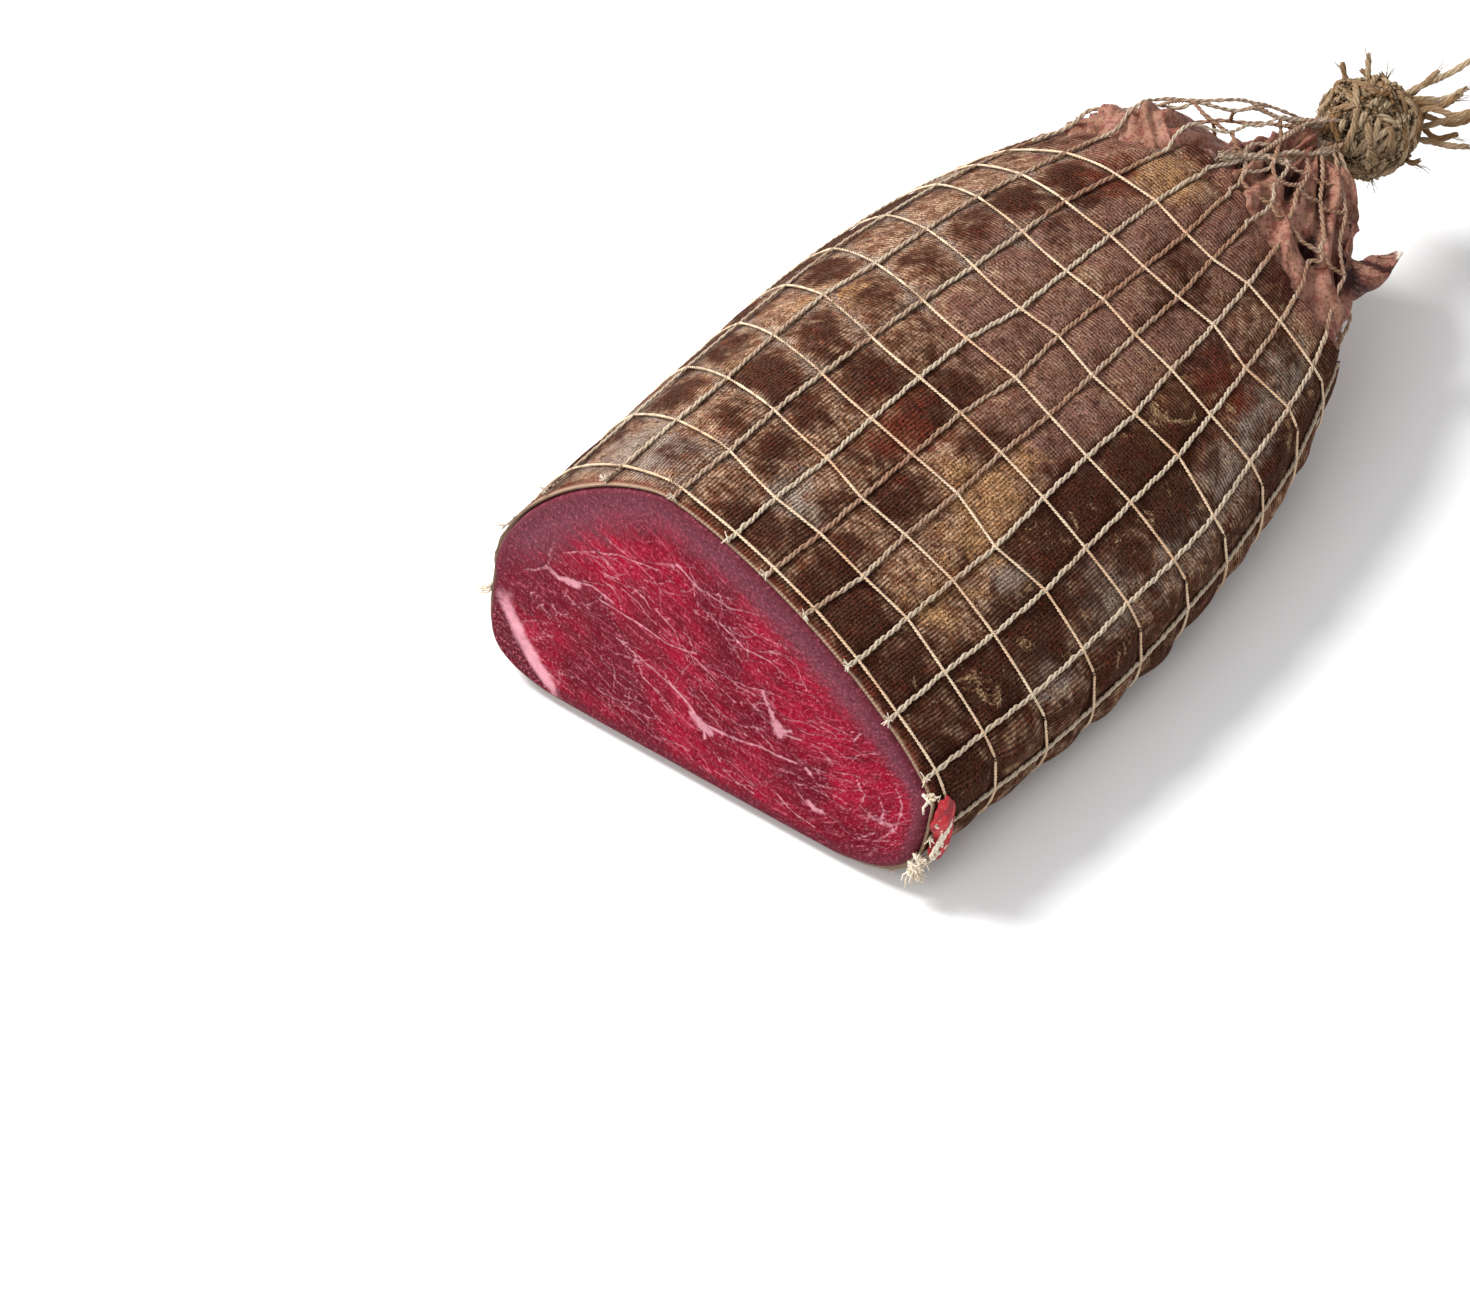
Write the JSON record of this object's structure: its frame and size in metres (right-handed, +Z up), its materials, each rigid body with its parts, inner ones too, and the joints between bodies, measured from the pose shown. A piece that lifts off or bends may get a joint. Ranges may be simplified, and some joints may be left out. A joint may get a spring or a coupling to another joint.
{
  "type": "cut bresaola",
  "caption": "Cut piece of bresaola on its flat side: dark red cut face, mottled gauze sleeve, string net, and a twine knot with a frayed tassel.",
  "frame": {"origin": "on the ground under the middle of the bounding box", "axes": "+Y along the piece from the cut face to the knot, +X to its right side seen from the cut, +Z up"},
  "size_m": [0.1726, 0.3472, 0.0869],
  "materials": {
    "beef": "moist cut cured beef with pale fat veins",
    "natural_skin": "dried pinkish natural skin, pleated",
    "gauze": "fine ribbed gauze stained mottled brown and grey",
    "string": "twisted cotton string, matt",
    "twine": "coarse frayed natural twine"
  },
  "bodies": {
    "root": {"meat": "beef", "skin": "natural_skin", "casing": "gauze", "net": "string", "knot": "twine"}
  },
  "joints": []
}
